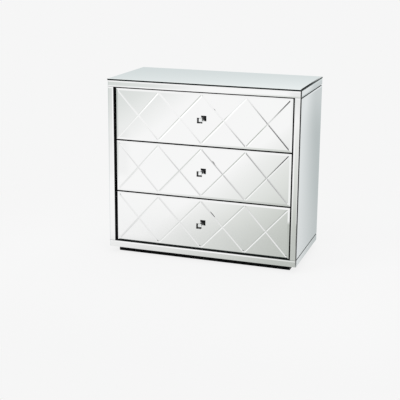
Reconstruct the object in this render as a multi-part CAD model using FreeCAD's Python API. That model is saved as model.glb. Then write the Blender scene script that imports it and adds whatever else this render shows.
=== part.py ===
import FreeCAD, Part
import math
import os
from FreeCAD import Placement, Rotation, Vector

# Three-drawer chest faced with bevelled mirror glass, on a black plinth set back under the case.
# Millimetres: X to the right, Y to the back, Z up, seen from the front. Everything is laid out
# from the plane of the front glass strips (y = 0). save() then moves it, so that the origin is on
# the floor, midway between the sides and midway between the knob tips and the back.

# Case, outside
WIDTH = 800.0
DEPTH = 385.0                 # front glass strips to the back panel
HEIGHT = 732.0
PLINTH_HEIGHT = 25.0
PLINTH_BOARD = 18.0
PLINTH_INSET = 32.0           # under the front and the sides
PLINTH_BACK_INSET = 20.0

# Boards
SIDE_BOARD = 19.0
DECK_BOARD = 25.0             # top and bottom boards
BACK_PANEL = 6.0
CROSS_RAIL_THICKNESS = 15.0
CROSS_RAIL_DEPTH = 60.0

# Mirror glass
GLASS = 6.0
GLASS_JOINT = 1.0             # open joint between two pieces of glass
SIDE_JOINT = 4.5              # wider, above and below the side panels
STRIP_LAP = 1.0               # frieze and rail strips pass the deck boards into the opening
STRIP_BEVEL = 5.5
PANEL_BEVEL = 5.5
FRONT_BEVEL = 8.0
BEVEL_ANGLE = 9.0             # degrees
CORNER_CHAMFER = 4.0          # ground off the outer ends of the front strips
CHAMFER_OVERCUT = 1.0         # cutter beyond the glass
DIAMOND_CELLS = 4             # crossed cells along each drawer front
GROOVE_WIDTH = 8.0
GROOVE_DEPTH = 1.6
GROOVE_OVERCUT = 0.5          # cutter above the face
GROOVE_RUN_OUT = 6.0          # in which a groove rises to the face at each end

# Drawers
DRAWER_NAMES = ("bottom", "middle", "top")
FRONT_RECESS = 10.0           # drawer glass behind the front strips
DRAWER_GAP = 6.0              # above and between the fronts
DRAWER_FOOT_GAP = 1.5         # over the bottom rail
DRAWER_SIDE_GAP = 8.5
FRONT_BOARD = 15.0
BOX_BOARD = 12.0
BOX_HEIGHT = 150.0
BOX_LENGTH = 330.0
BOX_RISE = 12.0               # box above the lower edge of its front
BOX_BOTTOM = 5.0
BOTTOM_RISE = 10.0            # bottom panel above the lower edge of the box
BOTTOM_GROOVE = 5.0           # depth of the groove that holds the bottom panel
BOTTOM_PLAY = 0.2

# Telescopic runners: fixed channel, slider and drawer bar, nested in one another
RUNNER_LENGTH = 300.0
RUNNER_HEIGHT = 45.0
RUNNER_THICKNESS = 12.7
RUNNER_STEEL = 1.2
RUNNER_PLAY = 0.4             # between nested flanges
RUNNER_WEB_GAP = 1.2          # between the channel's web and the slider's
RUNNER_LIP = 3.2              # channel flanges stop short of the drawer by this
RUNNER_SETBACK = 2.0          # behind the drawer's front board
RUNNER_RISE = 60.0            # runner's middle above the lower edge of the box

# Knob, measured outwards from the drawer glass
KNOB_SIDE = 22.0
KNOB_REACH = 28.0
TABLE_SIDE = 18.0
CRYSTAL_BACK_SIDE = 12.0
CRYSTAL_BACK_HEIGHT = 12.0    # slope from the back face to the girdle
GIRDLE = 2.0
BASE_LENGTH = 12.0
BASE_FOOT = 6.5               # radius at the glass
BASE_NECK = 3.8
BASE_LIP = 1.5                # thickness of the foot and of the collar
BASE_COLLAR = 5.8             # radius under the crystal
GLUE_LINE = 0.1               # between collar and crystal

# Fasteners
KNOB_SCREW_R = 2.0
KNOB_SCREW_HEAD_R = 4.2
KNOB_SCREW_HEAD = 2.6
KNOB_SCREW_GRIP = 9.0         # length inside the base
KNOB_HOLE_PLAY = 0.3
THREAD_PLAY = 0.05
DOWEL_R = 4.0
DOWEL_IN_SIDE = 12.0
DOWEL_IN_DECK = 20.0
DOWELS_PER_JOINT = 4
DOWEL_MARGIN = 50.0           # first and last dowel from the ends of the joint
BACK_SCREW_R = 1.75
BACK_SCREW_HEAD_R = 3.6
BACK_SCREW_HEAD = 1.9
BACK_SCREW_LENGTH = 25.0
SCREWS_PER_UPRIGHT = 5        # along each side board
SCREWS_PER_DECK = 4           # along each deck board
BACK_SCREW_MARGIN = 70.0
BOARD_HOLE_PLAY = 0.1

# Levels and planes that the pieces share
half_width = WIDTH / 2
board_front = GLASS
board_back = DEPTH - BACK_PANEL
side_outer = half_width - GLASS
side_inner = side_outer - SIDE_BOARD
case_bottom = PLINTH_HEIGHT
case_top = HEIGHT - GLASS
strip_height = DECK_BOARD + STRIP_LAP
opening_bottom = case_bottom + strip_height
opening_top = case_top - strip_height

drawer_count = len(DRAWER_NAMES)
front_width = 2 * (side_inner - DRAWER_SIDE_GAP)
drawer_space = opening_top - opening_bottom - DRAWER_FOOT_GAP
front_height = drawer_space / drawer_count - DRAWER_GAP
front_board_face = FRONT_RECESS + GLASS
box_front = front_board_face + FRONT_BOARD
box_back = box_front + BOX_LENGTH
box_outer = side_inner - RUNNER_THICKNESS
box_inner = box_outer - BOX_BOARD
runner_front = box_front + RUNNER_SETBACK

knob_proud = KNOB_REACH - FRONT_RECESS
origin_y = (DEPTH - knob_proud) / 2


def save(node, *solids):
    """Write one node, moved to the chest's own origin."""
    shape = solids[0] if len(solids) == 1 else Part.makeCompound(list(solids))
    moved = shape.copy()
    moved.translate(Vector(0, -origin_y, 0))
    moved.exportStep(os.path.join("parts", node + ".step"))


def block(x, y, z):
    """Box between two limits along each axis."""
    low = Vector(x[0], y[0], z[0])
    return Part.makeBox(x[1] - x[0], y[1] - y[0], z[1] - z[0], low)


def rod(radius, start, along):
    """Cylinder from a point along a vector."""
    return Part.makeCylinder(radius, along.Length, start, along)


def other_side(shape):
    """The same piece on the other side of the chest."""
    return shape.mirror(Vector(0, 0, 0), Vector(1, 0, 0))


def spaced(first, last, count):
    """Evenly spaced places from first to last."""
    return [first + (last - first) * i / (count - 1) for i in range(count)]


def rectangle(width, height, level):
    """Closed rectangular wire, centred, at a level."""
    x, y = width / 2, height / 2
    corners = [Vector(-x, -y, level), Vector(x, -y, level), Vector(x, y, level), Vector(-x, y, level)]
    return Part.makePolygon(corners + corners[:1])


def taper(width, height, inset, low, high):
    """Solid that narrows by inset on every side between two levels."""
    wide = rectangle(width, height, low)
    narrow = rectangle(width - 2 * inset, height - 2 * inset, high)
    return Part.makeLoft([wide, narrow], True, True)


# ---------------------------------------------------------------- mirror glass

def bevelled_glass(width, height, bevel):
    """Plate of mirror glass, face up at level 0, ground to a flat bevel all round."""
    drop = bevel * math.tan(math.radians(BEVEL_ANGLE))
    slab = block((-width / 2, width / 2), (-height / 2, height / 2), (-GLASS, -drop))
    return slab.fuse(taper(width, height, bevel, -drop, 0)).removeSplitter()


def groove(start, end):
    """Cutter for one V groove from start to end in a face at level 0, like an upturned hip roof."""
    along = end - start
    length = along.Length
    half = GROOVE_WIDTH / 2 * (1 + GROOVE_OVERCUT / GROOVE_DEPTH)
    a, b, c, d = [Vector(x, y, GROOVE_OVERCUT)
                  for x, y in ((0, -half), (length, -half), (length, half), (0, half))]
    near = Vector(GROOVE_RUN_OUT, 0, -GROOVE_DEPTH)
    far = Vector(length - GROOVE_RUN_OUT, 0, -GROOVE_DEPTH)
    outlines = ([a, b, c, d], [a, b, far, near], [b, c, far], [c, d, near, far], [d, a, near])
    faces = [Part.Face(Part.makePolygon(corners + corners[:1])) for corners in outlines]
    cutter = Part.makeSolid(Part.makeShell(faces))
    turn = Rotation(Vector(0, 0, 1), math.degrees(math.atan2(along.y, along.x)))
    cutter.Placement = Placement(start, turn)
    return cutter


def diamond_glass(width, height, bevel):
    """Bevelled plate with a crossed pair of V grooves in each cell."""
    plate = bevelled_glass(width, height, bevel)
    end, y = width / 2 - bevel, height / 2 - bevel
    inner = [width * (i / DIAMOND_CELLS - 0.5) for i in range(1, DIAMOND_CELLS)]
    edges = [-end] + inner + [end]
    cutters = []
    for left, right in zip(edges, edges[1:]):
        cutters.append(groove(Vector(left, -y, 0), Vector(right, y, 0)))
        cutters.append(groove(Vector(left, y, 0), Vector(right, -y, 0)))
    return plate.cut(cutters)


def facing_front(plate, x, z, face):
    """Stand a plate up, its face towards the front at y = face."""
    plate.Placement = Placement(Vector(sum(x) / 2, face, sum(z) / 2), Rotation(Vector(1, 0, 0), 90))
    return plate


def facing_right(y, z, bevel):
    """Plate on the right side of the case."""
    plate = bevelled_glass(y[1] - y[0], z[1] - z[0], bevel)
    middle = Vector(half_width, sum(y) / 2, sum(z) / 2)
    plate.Placement = Placement(middle, Rotation(Vector(1, 1, 1), 120))
    return plate


def corner_cutter(z):
    """Cutter for the ground chamfer down the right front corner of the case."""
    leg = CORNER_CHAMFER + 2 * CHAMFER_OVERCUT
    corner = Vector(half_width + CHAMFER_OVERCUT, -CHAMFER_OVERCUT, z[0])
    triangle = [corner, corner + Vector(0, leg, 0), corner - Vector(leg, 0, 0)]
    return Part.Face(Part.makePolygon(triangle + triangle[:1])).extrude(Vector(0, 0, z[1] - z[0]))


def front_strip(x, z):
    """Strip of glass on the front edges of the boards, its outer ends chamfered."""
    strip = facing_front(bevelled_glass(x[1] - x[0], z[1] - z[0], STRIP_BEVEL), x, z, 0)
    cutter = corner_cutter(z)
    return strip.cut([cutter, other_side(cutter)])


def make_case_glass():
    """Top, frieze, stiles, rail and side panels."""
    top = bevelled_glass(WIDTH, DEPTH, PANEL_BEVEL)
    top.Placement = Placement(Vector(0, DEPTH / 2, HEIGHT), Rotation())
    save("top_mirror", top)

    frieze = (opening_top, case_top - GLASS_JOINT)
    rail = (case_bottom, opening_bottom)
    between = (opening_bottom + GLASS_JOINT, opening_top - GLASS_JOINT)
    full = (-half_width, half_width)
    save("frieze_mirror_front", front_strip(full, frieze))
    save("rail_mirror_front", front_strip(full, rail))
    stile = front_strip((side_inner, half_width), between)
    save("stile_mirror_right", stile)
    save("stile_mirror_left", other_side(stile))

    run = (GLASS + GLASS_JOINT, DEPTH)
    panel_run = (rail[1] + SIDE_JOINT, frieze[0] - SIDE_JOINT)
    for name, z, bevel in (("frieze_mirror", frieze, STRIP_BEVEL), ("side_mirror", panel_run, PANEL_BEVEL),
                           ("rail_mirror", rail, STRIP_BEVEL)):
        panel = facing_right(run, z, bevel)
        save(name + "_right", panel)
        save(name + "_left", other_side(panel))


# ---------------------------------------------------------------- case

def dowel_places():
    """Start of each dowel, in the right side board, under both deck boards."""
    places = []
    for level in (case_bottom + DECK_BOARD / 2, case_top - DECK_BOARD / 2):
        for y in spaced(board_front + DOWEL_MARGIN, board_back - DOWEL_MARGIN, DOWELS_PER_JOINT):
            places.append(Vector(side_inner + DOWEL_IN_SIDE, y, level))
    return places


def dowel_set(play):
    """The dowels of the right-hand joints, or with play the holes they stand in."""
    along = Vector(-(DOWEL_IN_SIDE + DOWEL_IN_DECK), 0, 0)
    return [rod(DOWEL_R + play, place, along) for place in dowel_places()]


def back_screw_places():
    """Head of each screw that holds the back panel."""
    upright = side_inner + SIDE_BOARD / 2
    places = []
    for z in spaced(case_bottom + BACK_SCREW_MARGIN, case_top - BACK_SCREW_MARGIN, SCREWS_PER_UPRIGHT):
        places += [Vector(-upright, DEPTH, z), Vector(upright, DEPTH, z)]
    across = side_inner - BACK_SCREW_MARGIN
    for z in (case_bottom + DECK_BOARD / 2, case_top - DECK_BOARD / 2):
        places += [Vector(x, DEPTH, z) for x in spaced(-across, across, SCREWS_PER_DECK)]
    return places


def back_screw(place, play):
    """Countersunk screw, or with play the hole it stands in."""
    inwards = Vector(0, -1, 0)
    head = Part.makeCone(BACK_SCREW_HEAD_R + play, BACK_SCREW_R + play, BACK_SCREW_HEAD, place, inwards)
    return head.fuse(rod(BACK_SCREW_R + play, place, inwards * (BACK_SCREW_LENGTH + play)))


def make_case_boards():
    """Side, top and bottom boards, back panel, cross rails and the fasteners between them."""
    right_holes = dowel_set(BOARD_HOLE_PLAY)
    dowel_holes = right_holes + [other_side(hole) for hole in right_holes]
    screw_holes = [back_screw(place, BOARD_HOLE_PLAY) for place in back_screw_places()]
    run = (board_front, board_back)

    side = block((side_inner, side_outer), run, (case_bottom, case_top))
    save("side_board_right", side.cut(dowel_holes + screw_holes))
    save("side_board_left", other_side(side).cut(dowel_holes + screw_holes))
    span = (-side_inner, side_inner)
    bottom = block(span, run, (case_bottom, case_bottom + DECK_BOARD))
    save("bottom_board", bottom.cut(dowel_holes + screw_holes))
    top = block(span, run, (case_top - DECK_BOARD, case_top))
    save("top_board", top.cut(dowel_holes + screw_holes))
    back = block((-side_outer, side_outer), (board_back, DEPTH), (case_bottom, case_top))
    save("back_panel", back.cut(screw_holes))

    dowels = dowel_set(0)
    save("case_dowels", *(dowels + [other_side(dowel) for dowel in dowels]))
    save("back_screws", *[back_screw(place, 0) for place in back_screw_places()])

    rail_run = (runner_front, runner_front + CROSS_RAIL_DEPTH)
    for name, index in (("cross_rail_lower", 1), ("cross_rail_upper", 2)):
        middle = drawer_level(index) - DRAWER_GAP / 2
        z = (middle - CROSS_RAIL_THICKNESS / 2, middle + CROSS_RAIL_THICKNESS / 2)
        save(name, block(span, rail_run, z))


def make_plinth():
    """Four black boards on edge, set back under the case."""
    outer = half_width - PLINTH_INSET
    back = DEPTH - PLINTH_BACK_INSET
    front_run = (PLINTH_INSET, PLINTH_INSET + PLINTH_BOARD)
    back_run = (back - PLINTH_BOARD, back)
    z = (0, PLINTH_HEIGHT)
    save("plinth_front", block((-outer, outer), front_run, z))
    save("plinth_back", block((-outer, outer), back_run, z))
    side = block((outer - PLINTH_BOARD, outer), (front_run[1], back_run[0]), z)
    save("plinth_side_right", side)
    save("plinth_side_left", other_side(side))


# ---------------------------------------------------------------- runners

def channel(web, flange_end, half_height, middle):
    """C section of folded steel on the right: web between two distances from the side board,
    flanges reaching to flange_end."""
    y = (runner_front, runner_front + RUNNER_LENGTH)
    upright = (middle - half_height, middle + half_height)
    web_x = (side_inner - web[1], side_inner - web[0])
    far = side_inner - flange_end
    flange_x = (min(far, web_x[0]), max(far, web_x[1]))
    shape = block(web_x, y, upright)
    for z in ((upright[0], upright[0] + RUNNER_STEEL), (upright[1] - RUNNER_STEEL, upright[1])):
        shape = shape.fuse(block(flange_x, y, z))
    return shape.removeSplitter()


def make_runners(name, level):
    """Fixed channel, slider and drawer bar, each as a left and right pair."""
    middle = level + BOX_RISE + RUNNER_RISE
    nest = RUNNER_STEEL + RUNNER_PLAY
    half = RUNNER_HEIGHT / 2
    channel_end = RUNNER_THICKNESS - RUNNER_LIP
    slider_web = RUNNER_STEEL + RUNNER_WEB_GAP
    slider_end = RUNNER_THICKNESS - RUNNER_STEEL - RUNNER_PLAY
    bar_web = RUNNER_THICKNESS - RUNNER_STEEL
    bar_end = slider_web + RUNNER_STEEL + RUNNER_WEB_GAP
    pieces = (
        ("runner_channel_", channel((0, RUNNER_STEEL), channel_end, half, middle)),
        ("runner_slider_", channel((slider_web, slider_web + RUNNER_STEEL), slider_end, half - nest, middle)),
        ("runner_bar_", channel((bar_web, RUNNER_THICKNESS), bar_end, half - 2 * nest, middle)),
    )
    for prefix, piece in pieces:
        save(prefix + name, other_side(piece), piece)


# ---------------------------------------------------------------- drawers

def drawer_level(index):
    """Lower edge of a drawer front, counted from the bottom."""
    return opening_bottom + DRAWER_FOOT_GAP + index * (front_height + DRAWER_GAP)


def make_knob(name, z):
    """Square cut crystal glued to a turned metal base, held by one screw from inside."""
    face = FRONT_RECESS
    outwards = Rotation(Vector(1, 0, 0), 90)
    at_face = Placement(Vector(0, face, z), outwards)

    crystal_back = BASE_LENGTH + GLUE_LINE
    girdle_low = crystal_back + CRYSTAL_BACK_HEIGHT
    girdle_high = girdle_low + GIRDLE
    back_inset = (KNOB_SIDE - CRYSTAL_BACK_SIDE) / 2
    table_inset = (KNOB_SIDE - TABLE_SIDE) / 2
    half = KNOB_SIDE / 2
    crystal = block((-half, half), (-half, half), (girdle_low, girdle_high))
    crystal = crystal.fuse([taper(KNOB_SIDE, KNOB_SIDE, back_inset, girdle_low, crystal_back),
                            taper(KNOB_SIDE, KNOB_SIDE, table_inset, girdle_high, KNOB_REACH)])
    crystal = crystal.removeSplitter()
    crystal.Placement = at_face
    save("knob_crystal_" + name, crystal)

    cove_low = Vector(BASE_FOOT - BASE_LIP, 0, BASE_LIP)
    cove_high = Vector(BASE_COLLAR - BASE_LIP / 2, 0, BASE_LENGTH - BASE_LIP)
    cove = Part.Arc(cove_low, Vector(BASE_NECK, 0, BASE_LENGTH / 2), cove_high).toShape()
    hole = KNOB_SCREW_R + THREAD_PLAY
    before = [Vector(hole, 0, 0), Vector(BASE_FOOT, 0, 0), Vector(BASE_FOOT, 0, BASE_LIP), cove_low]
    after = [cove_high, Vector(BASE_COLLAR, 0, BASE_LENGTH - BASE_LIP),
             Vector(BASE_COLLAR, 0, BASE_LENGTH), Vector(hole, 0, BASE_LENGTH), before[0]]
    outline = Part.Wire(Part.makePolygon(before).Edges + [cove] + Part.makePolygon(after).Edges)
    base = Part.Face(outline).revolve(Vector(0, 0, 0), Vector(0, 0, 1), 360)
    base.Placement = at_face
    save("knob_base_" + name, base)

    inner_face = Vector(0, box_front, z)
    shank_length = box_front - face + KNOB_SCREW_GRIP
    shank = rod(KNOB_SCREW_R, inner_face, Vector(0, -shank_length, 0))
    head = rod(KNOB_SCREW_HEAD_R, inner_face, Vector(0, KNOB_SCREW_HEAD, 0))
    save("knob_screw_" + name, shank.fuse(head))


def make_front(name, level):
    """Mirror glass glued on a board, both drilled for the knob's screw."""
    x = (-front_width / 2, front_width / 2)
    z = (level, level + front_height)
    middle = sum(z) / 2
    hole = rod(KNOB_SCREW_R + KNOB_HOLE_PLAY, Vector(0, box_front, middle), Vector(0, -box_front, 0))
    glass = facing_front(diamond_glass(front_width, front_height, FRONT_BEVEL), x, z, FRONT_RECESS)
    save("drawer_mirror_" + name, glass.cut(hole))
    board = block(x, (front_board_face, box_front), z)
    save("drawer_front_" + name, board.cut([hole, bottom_panel(level, BOTTOM_PLAY)]))
    make_knob(name, middle)


def bottom_panel(level, play):
    """Bottom panel of a drawer, or with play the groove that holds it on all four sides."""
    low = level + BOX_RISE + BOTTOM_RISE
    reach = box_inner + BOTTOM_GROOVE + play
    y = (box_front - BOTTOM_GROOVE - play, box_back - BOX_BOARD + BOTTOM_GROOVE + play)
    return block((-reach, reach), y, (low, low + BOX_BOTTOM + play))


def make_box(name, level):
    """Drawer box: two sides, a back between them and a bottom panel in a groove."""
    z = (level + BOX_RISE, level + BOX_RISE + BOX_HEIGHT)
    groove_cut = bottom_panel(level, BOTTOM_PLAY)
    side = block((box_inner, box_outer), (box_front, box_back), z).cut(groove_cut)
    save("drawer_side_right_" + name, side)
    save("drawer_side_left_" + name, other_side(side))
    back = block((-box_inner, box_inner), (box_back - BOX_BOARD, box_back), z)
    save("drawer_back_" + name, back.cut(groove_cut))
    save("drawer_floor_" + name, bottom_panel(level, 0))


def make_drawers():
    """All drawers with their runners."""
    for index, name in enumerate(DRAWER_NAMES):
        level = drawer_level(index)
        make_front(name, level)
        make_box(name, level)
        make_runners(name, level)


os.makedirs("parts", exist_ok=True)
make_plinth()
make_case_boards()
make_case_glass()
make_drawers()
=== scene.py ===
import math

import bmesh
import bpy
from mathutils import Matrix, Vector


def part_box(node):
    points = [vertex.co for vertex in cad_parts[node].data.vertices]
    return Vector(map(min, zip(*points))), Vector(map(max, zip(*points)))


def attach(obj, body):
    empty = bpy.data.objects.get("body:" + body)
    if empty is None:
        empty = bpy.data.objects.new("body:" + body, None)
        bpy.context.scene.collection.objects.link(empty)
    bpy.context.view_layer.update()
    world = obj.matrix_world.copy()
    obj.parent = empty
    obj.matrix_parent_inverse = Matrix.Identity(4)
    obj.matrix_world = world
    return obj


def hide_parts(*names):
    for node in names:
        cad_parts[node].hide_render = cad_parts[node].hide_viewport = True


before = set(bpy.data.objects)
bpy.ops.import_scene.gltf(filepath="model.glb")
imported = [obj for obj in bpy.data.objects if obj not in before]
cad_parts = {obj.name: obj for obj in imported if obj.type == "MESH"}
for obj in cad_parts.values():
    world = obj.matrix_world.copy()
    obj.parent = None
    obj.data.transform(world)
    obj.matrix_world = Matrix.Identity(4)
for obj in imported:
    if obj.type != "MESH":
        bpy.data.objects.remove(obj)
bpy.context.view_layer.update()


# ---------------------------------------------------------------- plinth
# Four boards on edge, set back under the case and sprayed satin black. The paint has a fine
# orange peel, and towards the floor it carries a little dust and a few dull scuffs.

MM = 0.001
SATIN_BLACK = (0.0022, 0.0022, 0.0025)
DUST = (0.05, 0.048, 0.046)
DUST_HEIGHT = 12 * MM


class Link:
    """One output of a shader node. Arithmetic on it adds Math nodes."""

    def __init__(self, finish, socket):
        self.finish = finish
        self.socket = socket

    def math(self, operation, *values):
        return self.finish.add("Math", {"operation": operation}, dict(enumerate(values)))

    def __add__(self, other):
        return self.math("ADD", self, other)

    def __radd__(self, other):
        return self.math("ADD", other, self)

    def __sub__(self, other):
        return self.math("SUBTRACT", self, other)

    def __rsub__(self, other):
        return self.math("SUBTRACT", other, self)

    def __mul__(self, other):
        return self.math("MULTIPLY", self, other)

    def __rmul__(self, other):
        return self.math("MULTIPLY", other, self)

    def __truediv__(self, other):
        return self.math("DIVIDE", self, other)

    def __abs__(self):
        return self.math("ABSOLUTE", self)

    def __gt__(self, other):
        return self.math("GREATER_THAN", self, other)

    def most(self, other):
        """The larger of two values."""
        return self.math("MAXIMUM", self, other)

    def wave(self, length):
        """Sine wave from 0 to 1 along this value."""
        return self.math("SINE", self * (2 * math.pi / length)) * 0.5 + 0.5

    def rise(self, low, high):
        """Smooth step: 0 at low, 1 at high."""
        values = {"Value": self, "From Min": low, "From Max": high}
        return self.finish.add("MapRange", {"interpolation_type": "SMOOTHSTEP"}, values)


class Finish:
    """Shader nodes of one material or of the world."""

    def __init__(self, owner):
        owner.use_nodes = True
        self.owner = owner
        self.tree = owner.node_tree
        self.tree.nodes.clear()

    def add(self, kind, settings=None, inputs=None, output=0):
        """One node: its settings first, then the values or links of its sockets."""
        node = self.tree.nodes.new("ShaderNode" + kind)
        for name, value in (settings or {}).items():
            if name == "stops":
                ramp = node.color_ramp.elements
                while len(ramp) < len(value):
                    ramp.new(1.0)
                for stop, (position, colour) in zip(ramp, value):
                    stop.position = position
                    stop.color = (*colour, 1)
            else:
                setattr(node, name, value)
        for name, value in (inputs or {}).items():
            if isinstance(value, Link):
                self.tree.links.new(value.socket, node.inputs[name])
            elif node.inputs[name].type == "RGBA":
                node.inputs[name].default_value = (*value, 1)
            else:
                node.inputs[name].default_value = value
        return Link(self, node.outputs[output]) if node.outputs else None

    def place(self):
        """Where the surface is, in the chest's own frame, in metres."""
        return self.add("TexCoord", output="Object")

    def along(self, vector):
        """The X, Y and Z parts of a vector."""
        node = self.add("SeparateXYZ", inputs={"Vector": vector}).socket.node
        return [Link(self, output) for output in node.outputs]

    def noise(self, size, detail=2, stretch=(1, 1, 1)):
        """Noise with features of about that size in metres, longer along each axis by stretch."""
        scale = tuple(1 / (size * longer) for longer in stretch)
        spot = self.add("VectorMath", {"operation": "MULTIPLY"}, {0: self.place(), 1: scale})
        return self.add("TexNoise", inputs={"Vector": spot, "Scale": 1, "Detail": detail})

    def blend(self, amount, first, second):
        """Colour between two colours."""
        return self.add("Mix", {"data_type": "RGBA"}, {0: amount, 6: first, 7: second}, output=2)

    def relief(self, height, depth):
        """Normal of a surface whose relief goes up and down by depth in metres."""
        return self.add("Bump", inputs={"Height": height, "Strength": 1, "Distance": depth})

    def cover(self, **values):
        """Close the material with a Principled shader."""
        named = {name.replace("_", " ").title().replace("Ior", "IOR"): value
                 for name, value in values.items()}
        surface = self.add("BsdfPrincipled", inputs=named)
        self.add("OutputMaterial", inputs={"Surface": surface})
        return self.owner


def new_finish(name):
    return Finish(bpy.data.materials.new(name))


def dress(material, *starts):
    """Give a material to every CAD node whose name starts so."""
    for name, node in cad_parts.items():
        if name.startswith(starts):
            node.material_slots[0].material = material


def plinth_paint():
    paint = new_finish("plinth_paint")
    height = paint.along(paint.place())[2]
    low = height.rise(DUST_HEIGHT, 0)
    dust = paint.noise(14 * MM, detail=5).rise(0.45, 0.75) * low
    scuff = paint.noise(5 * MM, detail=3, stretch=(8, 8, 1)).rise(0.62, 0.70)
    peel = paint.noise(1.2 * MM, detail=1)
    colour = paint.blend(dust * 0.10 + scuff * 0.05, SATIN_BLACK, DUST)
    return paint.cover(base_color=colour, roughness=0.42 + dust * 0.3 + scuff * 0.2,
                       specular_ior_level=0.06, normal=paint.relief(peel, depth=0.02 * MM))


dress(plinth_paint(), "plinth")


# ---------------------------------------------------------------- case boards
# Side, top and bottom boards and the two cross rails, all board painted matt black because the
# gaps between the pieces of glass show them. Grooved beech dowels join the deck boards to the sides.

CASE_BLACK = 0.008                # light level of the paint
BEECH_DARK = (0.50, 0.30, 0.15)
BEECH_PALE = (0.66, 0.45, 0.26)
BEECH_FLECK = (0.33, 0.18, 0.09)


def case_board_paint(name, level):
    """Matt black paint with a cold tinge, in soft clouds rubbed to about twice its light level."""
    paint = new_finish(name)
    cloud = paint.noise(60 * MM, detail=4)
    grit = paint.noise(0.8 * MM, detail=2)
    black = (level, level, level * 1.05)
    rubbed = (level * 2.2, level * 2.2, level * 2.3)
    colour = paint.blend(cloud.rise(0.35, 0.8) * 0.5, black, rubbed)
    return paint.cover(base_color=colour, roughness=0.55 + cloud * 0.2,
                       normal=paint.relief(grit, depth=0.03 * MM))


CASE_BOARDS = ("side_board", "top_board", "bottom_board", "cross_rail")
dress(case_board_paint("case_board", CASE_BLACK), *CASE_BOARDS)


def dowel_beech():
    beech = new_finish("dowel_beech")
    grain = beech.noise(1.2 * MM, detail=4, stretch=(14, 1, 1))
    fleck = beech.noise(0.7 * MM, detail=2, stretch=(4, 1, 1)).rise(0.60, 0.68)
    colour = beech.blend(grain, BEECH_DARK, BEECH_PALE)
    colour = beech.blend(fleck * 0.5, colour, BEECH_FLECK)
    return beech.cover(base_color=colour, roughness=0.55 + fleck * 0.1,
                       normal=beech.relief(grain, depth=0.05 * MM))


dress(dowel_beech(), "case_dowels")


# ---------------------------------------------------------------- back panel
# Thin dark grey faced fibreboard over the whole back, held by countersunk cross-head screws along
# the side boards and the deck boards.

BACK_DARK = (0.030, 0.030, 0.032)
BACK_PALE = (0.075, 0.075, 0.078)
ZINC_DULL = (0.42, 0.43, 0.45)
ZINC_BRIGHT = (0.66, 0.67, 0.69)
SCREW_HEAD = 3.6 * MM             # radius, as for the shank
SCREW_HEAD_HEIGHT = 1.9 * MM
SCREW_SHANK = 1.75 * MM
SCREW_RECESS = 1.5 * MM
SCREW_SIDES = 28
RECESS_MOUTH = (0.62, 0.15)       # reach and half width of the cross, in radii of the head
RECESS_FLOOR = (0.40, 0.11)
POINT_LENGTH = 2                  # in radii of the shank
TURN_STEP = math.radians(37)      # no two screws stop at the same turn
BACKWARDS = Vector((0, 1, 0))


def back_board():
    board = new_finish("back_board")
    fibre = board.noise(1.5 * MM, detail=5, stretch=(3, 1, 1))
    cloud = board.noise(120 * MM, detail=3)
    colour = board.blend(fibre * 0.6 + cloud * 0.4, BACK_DARK, BACK_PALE)
    return board.cover(base_color=colour, roughness=0.50 + fibre * 0.15,
                       normal=board.relief(fibre, depth=0.06 * MM))


def screw_steel():
    zinc = new_finish("screw_steel")
    turned = zinc.noise(0.5 * MM, detail=3)
    colour = zinc.blend(turned, ZINC_DULL, ZINC_BRIGHT)
    return zinc.cover(base_color=colour, metallic=1.0, roughness=0.26 + turned * 0.16,
                      normal=zinc.relief(turned, depth=0.01 * MM))


def ring(bm, radius, level):
    """Closed loop of vertices round the Z axis."""
    turns = [2 * math.pi * i / SCREW_SIDES for i in range(SCREW_SIDES)]
    return [bm.verts.new((radius * math.cos(t), radius * math.sin(t), level)) for t in turns]


def cross(bm, shape, radius, level):
    """Closed loop of vertices in the shape of a cross, sized by the radius of the head."""
    reach, half_width = (share * radius for share in shape)
    corner = [Vector((reach, -half_width, level)), Vector((reach, half_width, level)),
              Vector((half_width, half_width, level))]
    return [bm.verts.new(Matrix.Rotation(math.pi / 2 * i, 3, "Z") @ point)
            for i in range(4) for point in corner]


def wall(bm, first, second):
    """Quads between two loops of equal length."""
    for i in range(len(first)):
        j = (i + 1) % len(first)
        bm.faces.new((first[i], first[j], second[j], second[i]))


def edges_of(bm, loop):
    return [bm.edges.new((loop[i], loop[(i + 1) % len(loop)])) for i in range(len(loop))]


def cross_head_screw(name, outline, recess_depth, length):
    """Screw along -Z from the rings of its head, from the face outwards: (radius, level)."""
    bm = bmesh.new()
    face_radius, face_level = outline[0]
    mouth = cross(bm, RECESS_MOUTH, face_radius, face_level)
    floor = cross(bm, RECESS_FLOOR, face_radius, face_level - recess_depth)
    rings = [ring(bm, radius, level) for radius, level in outline]
    bmesh.ops.triangle_fill(bm, use_beauty=True, edges=edges_of(bm, mouth) + edges_of(bm, rings[0]))
    wall(bm, mouth, floor)
    bmesh.ops.triangulate(bm, faces=[bm.faces.new(floor)])
    shank = outline[-1][0]
    rings.append(ring(bm, shank, -length + POINT_LENGTH * shank))
    for upper, lower in zip(rings, rings[1:]):
        wall(bm, upper, lower)
    point = bm.verts.new((0, 0, -length))
    for i in range(SCREW_SIDES):
        bm.faces.new((rings[-1][i], rings[-1][(i + 1) % SCREW_SIDES], point))
    bmesh.ops.recalc_face_normals(bm, faces=bm.faces)
    mesh = bpy.data.meshes.new(name)
    bm.to_mesh(mesh)
    bm.free()
    return mesh


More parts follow.
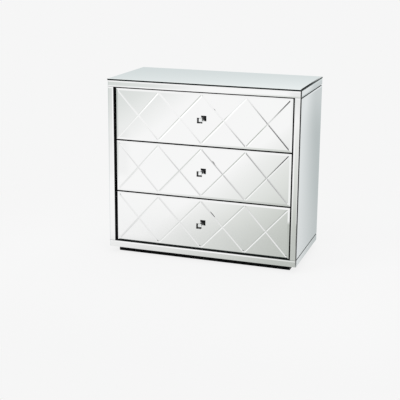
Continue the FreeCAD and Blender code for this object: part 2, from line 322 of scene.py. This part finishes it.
def solids_in(node):
    """Lowest and highest corner of each separate solid of a CAD node."""
    bm = bmesh.new()
    bm.from_mesh(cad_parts[node].data)
    bmesh.ops.remove_doubles(bm, verts=bm.verts, dist=0.01 * MM)
    waiting = set(bm.verts)
    boxes = []
    while waiting:
        group = [waiting.pop()]
        for vertex in group:
            for edge in vertex.link_edges:
                other = edge.other_vert(vertex)
                if other in waiting:
                    waiting.remove(other)
                    group.append(other)
        low = Vector(min(v.co[axis] for v in group) for axis in range(3))
        high = Vector(max(v.co[axis] for v in group) for axis in range(3))
        boxes.append((low, high))
    bm.free()
    return sorted(boxes, key=lambda corners: tuple(corners[0]))


def screw_set(name, mesh, faces, outwards):
    """One object of equal screws, their heads at the faces and looking outwards."""
    bm = bmesh.new()
    stand = outwards.to_track_quat("Z", "Y").to_matrix().to_4x4()
    for i, face in enumerate(faces):
        before = len(bm.verts)
        bm.from_mesh(mesh)
        bm.verts.ensure_lookup_table()
        turn = Matrix.Translation(face) @ stand @ Matrix.Rotation(TURN_STEP * i, 4, "Z")
        bmesh.ops.transform(bm, matrix=turn, verts=bm.verts[before:])
    joined = bpy.data.meshes.new(name)
    bm.to_mesh(joined)
    bm.free()
    screws = bpy.data.objects.new(name, joined)
    bpy.context.scene.collection.objects.link(screws)
    joined.materials.append(steel)
    return screws


dress(back_board(), "back_panel")
steel = screw_steel()
countersunk = [(SCREW_HEAD, 0), (SCREW_SHANK, -SCREW_HEAD_HEIGHT)]
cad_screws = solids_in("back_screws")
low, high = cad_screws[0]
back_screw = cross_head_screw("back_screw", countersunk, SCREW_RECESS, high.y - low.y)
heads = [Vector(((low.x + high.x) / 2, high.y, (low.z + high.z) / 2)) for low, high in cad_screws]
back_screws = screw_set("back_screw_set", back_screw, heads, BACKWARDS)
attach(back_screws, "carcass")
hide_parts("back_screws")


# ---------------------------------------------------------------- runners
# Telescopic runners of folded steel, bright zinc plated: a channel on the side board, a slider in
# it, and a bar in the slider. Two pan-head screws hold each bar to its drawer side.

RUNNER_DULL = (0.55, 0.57, 0.60)
RUNNER_BRIGHT = (0.80, 0.81, 0.83)
BAR_STEEL = 1.2 * MM              # thickness of the folded bar
BAR_SCREW_HEAD = 3.4 * MM         # radius, as for the shank
BAR_SCREW_HEIGHT = 1.7 * MM
BAR_SCREW_SHANK = 1.6 * MM
BAR_SCREW_RECESS = 1.2 * MM
BAR_SCREW_LENGTH = 11 * MM
BAR_SCREW_SHARES = (0.12, 0.88)   # along the bar
DOME = [(0.72, 1), (0.92, 0.75), (1, 0.35), (1, 0)]   # rings of a pan head, out and up
DRAWERS = ("bottom", "middle", "top")


def runner_steel():
    zinc = new_finish("runner_steel")
    rolled = zinc.noise(1.0 * MM, detail=3, stretch=(1, 120, 1))
    spangle = zinc.noise(6 * MM, detail=1)
    colour = zinc.blend(rolled * 0.6 + spangle * 0.4, RUNNER_DULL, RUNNER_BRIGHT)
    return zinc.cover(base_color=colour, metallic=1.0, roughness=0.20 + rolled * 0.18 + spangle * 0.08,
                      normal=zinc.relief(rolled, depth=0.01 * MM))


def pan_head(radius, height, shank):
    """Rings of a low domed head that stands on level 0."""
    return [(out * radius, up * height) for out, up in DOME] + [(shank, 0)]


dress(runner_steel(), "runner")
bar_head = pan_head(BAR_SCREW_HEAD, BAR_SCREW_HEIGHT, BAR_SCREW_SHANK)
bar_screw = cross_head_screw("bar_screw", bar_head, BAR_SCREW_RECESS, BAR_SCREW_LENGTH)
for drawer in DRAWERS:
    for side, (low, high) in zip(("left", "right"), solids_in("runner_bar_" + drawer)):
        outwards = -1 if side == "left" else 1
        web = (high.x if side == "left" else low.x) + outwards * BAR_STEEL
        faces = [Vector((web, low.y + share * (high.y - low.y), (low.z + high.z) / 2))
                 for share in BAR_SCREW_SHARES]
        screws = screw_set("bar_screws_" + side + "_" + drawer, bar_screw, faces,
                           Vector((outwards, 0, 0)))
        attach(screws, "drawer_" + drawer)


# ---------------------------------------------------------------- drawer boxes
# Two sides, a back and a floor panel of board, wrapped in grey foil printed and embossed with a
# plain linen weave. Behind the glass of each drawer stands a thicker front board, painted black.

LINEN_DARK = (0.15, 0.15, 0.155)
LINEN_PALE = (0.36, 0.36, 0.37)
THREAD = 1.6 * MM                 # from thread to thread
WAVER = 0.35 * THREAD             # how far the threads stray
FRONT_BLACK = 0.010


def drawer_lining():
    foil = new_finish("drawer_lining")
    slub = foil.noise(3 * MM, detail=3)
    x, y, z = (value + slub * WAVER for value in foil.along(foil.place()))
    weave = (x.wave(THREAD) + y.wave(THREAD) + z.wave(THREAD)) / 3
    thread = weave * 0.7 + slub * 0.3
    colour = foil.blend(thread, LINEN_DARK, LINEN_PALE)
    return foil.cover(base_color=colour, roughness=0.5 + thread * 0.2,
                      normal=foil.relief(thread, depth=0.08 * MM))


dress(drawer_lining(), "drawer_side", "drawer_back", "drawer_floor")
dress(case_board_paint("front_board", FRONT_BLACK), "drawer_front")


# ---------------------------------------------------------------- mirror glass
# 6 mm glass, silvered behind, with ground and polished bevels. V grooves cross on the drawer
# fronts. The plate edges are ground and show the dark green of the glass in front of the boards.

GROOVE_TILT = math.cos(math.radians(15))     # a groove is steeper than this, a bevel flatter
FACE_TILT = math.cos(math.radians(60))       # steeper still is the plate's edge
SILVER_DULL = (0.915, 0.918, 0.917)
SILVER_BRIGHT = (0.928, 0.930, 0.929)
EDGE_DARK = (0.006, 0.012, 0.011)
EDGE_PALE = (0.016, 0.028, 0.026)
EDGE_ROUGHNESS = 0.45                        # ground, and not polished
FLAT_ROUGHNESS = 0.015
GROOVE_ROUGHNESS = 0.07


def mirror_glass(name, facing):
    glass = new_finish("mirror_glass_" + name)
    normal = glass.add("NewGeometry", output="True Normal")
    tilt = glass.add("VectorMath", {"operation": "DOT_PRODUCT"}, {0: normal, 1: facing}, output="Value")
    silvered = tilt > FACE_TILT
    flat = tilt > GROOVE_TILT
    groove = silvered - flat
    cloud = glass.noise(90 * MM, detail=2)
    silver = glass.blend(cloud, SILVER_DULL, SILVER_BRIGHT)
    edge = glass.blend(glass.noise(3 * MM, detail=3), EDGE_DARK, EDGE_PALE)
    polish = flat * (EDGE_ROUGHNESS - FLAT_ROUGHNESS) + groove * (EDGE_ROUGHNESS - GROOVE_ROUGHNESS)
    return glass.cover(base_color=glass.blend(silvered, edge, silver), metallic=silvered,
                       specular_ior_level=0.05, roughness=EDGE_ROUGHNESS - polish + cloud * 0.004)


FRONT_GLASS = ("drawer_mirror", "frieze_mirror_front", "rail_mirror_front", "stile_mirror")
dress(mirror_glass("front", (0, -1, 0)), *FRONT_GLASS)
dress(mirror_glass("top", (0, 0, 1)), "top_mirror")
for side, facing in (("left", (-1, 0, 0)), ("right", (1, 0, 0))):
    side_glass = [piece + "_mirror_" + side for piece in ("frieze", "side", "rail")]
    dress(mirror_glass(side, facing), *side_glass)


# ---------------------------------------------------------------- knobs
# A square cut crystal, its back bevels blackened and its back face silvered, glued to a turned base
# plated with black nickel. One pan-head screw goes through front board and glass into the base.

KNOB_SCREW_HEAD = 4.2 * MM        # radius, as for the shank
KNOB_SCREW_HEIGHT = 2.0 * MM
KNOB_SCREW_SHANK = 2.0 * MM
KNOB_SCREW_RECESS = 1.4 * MM
CRYSTAL_BACK = 12 * MM            # depth of the blackened back bevels
FILM = 0.03 * MM                  # how near to a face its paint or silver counts
CRYSTAL_IOR = 1.52
CRYSTAL_CLEAR = (0.985, 0.992, 0.992)
CRYSTAL_BLACK = (0.008, 0.008, 0.009)
CRYSTAL_SILVER = (0.93, 0.94, 0.94)
NICKEL_DARK = (0.05, 0.05, 0.053)
NICKEL_PALE = (0.09, 0.09, 0.094)


def cut_crystal():
    crystal = new_finish("crystal")
    depth = crystal.along(crystal.place())[1]
    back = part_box("knob_crystal_top")[1].y
    coated = depth > back - CRYSTAL_BACK + FILM
    foil = depth > back - FILM
    colour = crystal.blend(coated, CRYSTAL_CLEAR, CRYSTAL_BLACK)
    colour = crystal.blend(foil, colour, CRYSTAL_SILVER)
    return crystal.cover(base_color=colour, metallic=coated, roughness=0.0, ior=CRYSTAL_IOR,
                         transmission_weight=1.0)


def black_nickel():
    nickel = new_finish("black_nickel")
    swirl = nickel.noise(0.6 * MM, detail=4)
    colour = nickel.blend(swirl, NICKEL_DARK, NICKEL_PALE)
    return nickel.cover(base_color=colour, metallic=1.0, roughness=0.10 + swirl * 0.10,
                        normal=nickel.relief(swirl, depth=0.004 * MM))


dress(cut_crystal(), "knob_crystal")
dress(black_nickel(), "knob_base")
knob_head = pan_head(KNOB_SCREW_HEAD, KNOB_SCREW_HEIGHT, KNOB_SCREW_SHANK)
for drawer in DRAWERS:
    low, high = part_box("knob_screw_" + drawer)
    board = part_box("drawer_front_" + drawer)[1].y
    mesh = cross_head_screw("knob_screw", knob_head, KNOB_SCREW_RECESS, board - low.y)
    face = Vector(((low.x + high.x) / 2, board, (low.z + high.z) / 2))
    screw = screw_set("knob_fixing_" + drawer, mesh, [face], BACKWARDS)
    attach(screw, "drawer_" + drawer)
    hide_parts("knob_screw_" + drawer)


# ---------------------------------------------------------------- studio
# A pale floor, a white background and four plain soft lamps. Glass and metal mirror a floor and a
# room of their own: pale, with the dimmer, lighter and darker stretches that a real studio has.

WHITE = (0.922, 0.922, 0.922)      # floor and background
LIT_WHITE = (0.953, 0.953, 0.953)  # makes up for the lit share, so that the floor looks even
LIT_SHARE = 0.12                   # share of the floor round the chest that takes light and shadow
LIT_FLOOR = (0.85, 0.85, 0.85)
FLOOR_GREY = (0.40, 0.40, 0.40)    # floor and room as they light what doesn't mirror them
ROOM_GREY = (0.45, 0.45, 0.45)
FLOOR_HALF = 9.0
LAMP_AIM = Vector((0, 0, 0.4))

# The mirrored floor: its light level at each X in front of the chest, and its other stretches.
FLOOR_LEVELS = [(-3.0, 0.62), (-2.1, 0.76), (-1.75, 0.82), (-1.25, 1.0), (-0.36, 1.0),
                (0.0, 0.775), (0.25, 0.605), (0.45, 0.52), (0.8, 0.62), (1.5, 0.86)]
TINT_EDGE = -0.4
LEFT_TINT = (0.155, 0, 0.10)       # red, green and blue that the floor loses as it darkens
RIGHT_TINT = (0.12, 0, 0.17)
DIM_FLOOR = (0.44, 0.46, 0.45)
LIGHT_FLOOR = (0.95, 0.96, 0.955)
# light level of the dark bar and the painted shadow strip on the mirrored floor, and of the dark post
# in the mirrored room
DARK = (0.03, 0.03, 0.03)
SHADOW_STRIP_START = (0.395, -0.18)       # a painted shadow strip fans out from the chest's right front corner
SHADE_START = (0.4, -0.18)         # the shade behind the chest opens from both front corners
SHADE_SLOPE = 4.6
FLOOR_BEHIND = (0.78, 0.81, 0.817)
SHADED_FLOOR = (0.506, 0.55, 0.552)

# The mirrored room: a wall behind the chest, and a wall, a ceiling and a lit patch before it.
LOW_WALL = (0.683, 0.738, 0.742)
HIGH_WALL = (0.96, 1.0, 1.0)
FRONT_WALL = (0.98, 0.98, 0.98)
CEILING = (0.80, 0.81, 0.82)
DARK_WALL = (0.04, 0.04, 0.045)
BRIGHT_PATCH = (1.35, 1.35, 1.35)


def seen_directly(finish):
    """1 for rays that come straight from the camera."""
    return finish.add("LightPath", output="Is Camera Ray")


def seen_in_glass(finish):
    """1 for rays that come off a mirror or metal, or through the crystal."""
    mirrored = finish.add("LightPath", output="Is Glossy Ray")
    return mirrored.most(finish.add("LightPath", output="Is Transmission Ray"))


def band(value, low, full, fade, high):
    """Smooth band: 0 up to low and from high on, 1 between full and fade."""
    return value.rise(low, full) * value.rise(high, fade)


def tinted(level, tint):
    """Colour of a light level: the darker it is, the more of each colour the tint takes away."""
    return tuple(level * (1 - share * (1 - level)) for share in tint)


def floor_before(floor, x, y):
    """Light of the floor in front of the chest. Y falls from the chest towards the front."""
    start, end = FLOOR_LEVELS[0][0], FLOOR_LEVELS[-1][0]
    stops = [((at - start) / (end - start), tinted(level, LEFT_TINT if at < TINT_EDGE else RIGHT_TINT))
             for at, level in FLOOR_LEVELS]
    across = x - (y + 3.2) * 0.14 * x.rise(-1.0, -1.3)
    level = floor.add("ValToRGB", {"stops": stops}, {"Fac": (across - start) / (end - start)})

    # dimmer close to the chest, at its foot, and farther off to the left and the right
    near = y.rise(-1.0, -0.45) * x.rise(-0.6, 0.0)
    foot = y.rise(-0.42, -0.32) * x.rise(-0.15, -0.28)
    left = y.rise(-1.3, -1.5) * (x - y * 0.43).rise(-0.21, -0.27) * x.rise(-1.45, -1.3)
    right = y.rise(-3.2, -3.6) * (x - (y + 3.65) * 0.3).rise(-0.46, -0.36)
    dim = near * 0.18 + foot * 0.12 + left * 0.09 + right * 0.21
    level = floor.blend(dim, level, DIM_FLOOR)

    # lighter from 0.8 m out, beside the chest and, faintly, before it
    beside = y.rise(-0.80, -0.88) * band(x, 0.25, 0.33, 1.0, 1.5)
    middle = y.rise(-0.85, -1.4) * x.rise(-0.35, -0.1)
    level = floor.blend(beside.most(middle * 0.16), level, LIGHT_FLOOR)

    # a narrow dark bar that lies aslant, and the painted shadow strip at the chest's corner
    bar = band(x + y * 0.38, 0.17, 0.27, 0.30, 0.35) * band(y, -1.12, -1.02, -0.60, -0.50)
    slope = (y - SHADOW_STRIP_START[1]) / (x - SHADOW_STRIP_START[0])
    shadow_strip = band(slope, -0.36, -0.27, -0.17, -0.10) * x.rise(0.42, 0.50)
    return floor.blend(bar.most(shadow_strip), level, DARK)


def floor_behind(floor, x, y):
    """Light of the floor beside and behind the chest."""
    slant = y - SHADE_START[1] - SHADE_SLOPE * (abs(x) - SHADE_START[0])
    shade = slant.rise(-0.15, 0.45) - y.rise(2.4, 4.4) * 0.38
    return floor.blend(shade, FLOOR_BEHIND, SHADED_FLOOR)


def studio_floor():
    """Floor: plain white to the camera, with a faint shadow round the chest."""
    floor = new_finish("studio_floor")
    x, y = floor.along(floor.place())[:2]
    mirrored = floor.blend(y.rise(-0.22, -0.16), floor_before(floor, x, y), floor_behind(floor, x, y))
    shown = floor.blend(seen_in_glass(floor), FLOOR_GREY, mirrored)
    around = abs(x).rise(1.3, 0.6) * abs(y).rise(1.2, 0.5)
    shown = floor.blend(seen_directly(floor), shown, floor.blend(around, WHITE, LIT_WHITE))
    glow = floor.add("Emission", inputs={"Color": shown, "Strength": 1})
    lit = floor.add("BsdfDiffuse", inputs={"Color": LIT_FLOOR})
    surface = floor.add("MixShader", inputs={0: 1 - LIT_SHARE * around, 1: lit, 2: glow})
    floor.add("OutputMaterial", inputs={"Surface": surface})
    return floor.owner


def make_floor():
    bm = bmesh.new()
    corners = [(-1, -1), (1, -1), (1, 1), (-1, 1)]
    bm.faces.new([bm.verts.new((x * FLOOR_HALF, y * FLOOR_HALF, 0)) for x, y in corners])
    mesh = bpy.data.meshes.new("studio_floor")
    bm.to_mesh(mesh)
    bm.free()
    floor = bpy.data.objects.new("studio_floor", mesh)
    bpy.context.scene.collection.objects.link(floor)
    mesh.materials.append(studio_floor())


def room_behind(room, x, z):
    """Light of the room behind the chest, by direction: a wall, lighter above, and a dark post."""
    level = room.blend(z.rise(0.130, 0.170), LOW_WALL, HIGH_WALL)
    post = band(x, -0.21, -0.18, -0.12, -0.10) * band(z, 0.188, 0.205, 0.26, 0.30)
    return room.blend(post, level, DARK)


def room_before(room, x, z):
    """Light of the room in front of the chest, by direction: dark bands and one bright patch."""
    level = room.blend(z.rise(0.30, 0.80), FRONT_WALL, CEILING)
    left = x.rise(-0.745, -0.77) * z.rise(0.125, 0.15) * (z - x * 0.9).rise(0.892, 0.878)
    low_left = x.rise(-0.785, -0.80) * z.rise(0.115, 0.10)
    right = x.rise(0.06, 0.34) * 0.68 + x.rise(0.30, 0.32) * 0.32
    right = right * (z.rise(0.212, 0.235) * 0.6 + z.rise(0.255, 0.275) * 0.4)
    right = right * (z - x * 0.3).rise(0.247, 0.222)
    low_right = x.rise(0.10, 0.15) * z.rise(0.225, 0.205)
    dark = left * 0.30 + low_left * 0.25 + right + low_right * 0.09
    level = room.blend(dark, level, DARK_WALL)
    patch = z.rise(0.12, 0.14) * 0.30 + z.rise(0.20, 0.215) * 0.60
    patch = patch * band(x, -0.815, -0.80, -0.74, -0.725) * z.rise(0.30, 0.28)
    return room.blend(patch, level, BRIGHT_PATCH)


def studio_room():
    """World: plain white to the camera, a soft room to glass and metal."""
    world = bpy.data.worlds.new("studio_room")
    bpy.context.scene.world = world
    room = Finish(world)
    x, y, z = room.along(room.add("TexCoord", output="Generated"))
    mirrored = room.blend(y.rise(-0.05, 0.05), room_before(room, x, z), room_behind(room, x, z))
    shown = room.blend(seen_in_glass(room), ROOM_GREY, mirrored)
    shown = room.blend(seen_directly(room), shown, WHITE)
    glow = room.add("Background", inputs={"Color": shown, "Strength": 1})
    room.add("OutputWorld", inputs={"Surface": glow})


def add_lamp(name, place, size, watts):
    data = bpy.data.lights.new(name, "AREA")
    data.energy = watts
    data.size = size
    lamp = bpy.data.objects.new(name, data)
    lamp.location = place
    lamp.rotation_euler = (LAMP_AIM - lamp.location).to_track_quat("-Z", "Y").to_euler()
    lamp.visible_glossy = False
    bpy.context.scene.collection.objects.link(lamp)


make_floor()
studio_room()
add_lamp("key_lamp", place=(-2.2, -2.6, 2.8), size=2.0, watts=45)
add_lamp("fill_lamp", place=(2.6, -1.8, 1.9), size=2.0, watts=22)
add_lamp("rear_lamp", place=(0.6, 3.0, 2.4), size=2.0, watts=28)
add_lamp("top_lamp", place=(0, 0, 3.4), size=2.5, watts=24)


# ---------------------------------------------------------------- camera
# A long lens above the right front corner, looking down on the chest. It is shifted a little, so
# that the upright lines lean less.

LENS = 85.18
SENSOR = 36
LENS_SHIFT = -0.08
CAMERA_PLACE = (1.178, -3.650, 1.282)
YAW = math.radians(18.80)
PITCH = math.radians(13.62)
ROLL = math.radians(0.45)


def place_camera():
    data = bpy.data.cameras.new("camera")
    data.lens = LENS
    data.sensor_width = SENSOR
    data.shift_y = LENS_SHIFT
    camera = bpy.data.objects.new("camera", data)
    turn = (Matrix.Rotation(YAW, 4, "Z") @ Matrix.Rotation(math.pi / 2 - PITCH, 4, "X")
            @ Matrix.Rotation(ROLL, 4, "Z"))
    camera.matrix_world = Matrix.Translation(CAMERA_PLACE) @ turn
    bpy.context.scene.collection.objects.link(camera)
    bpy.context.scene.camera = camera


place_camera()
bpy.context.scene.view_settings.view_transform = "Standard"
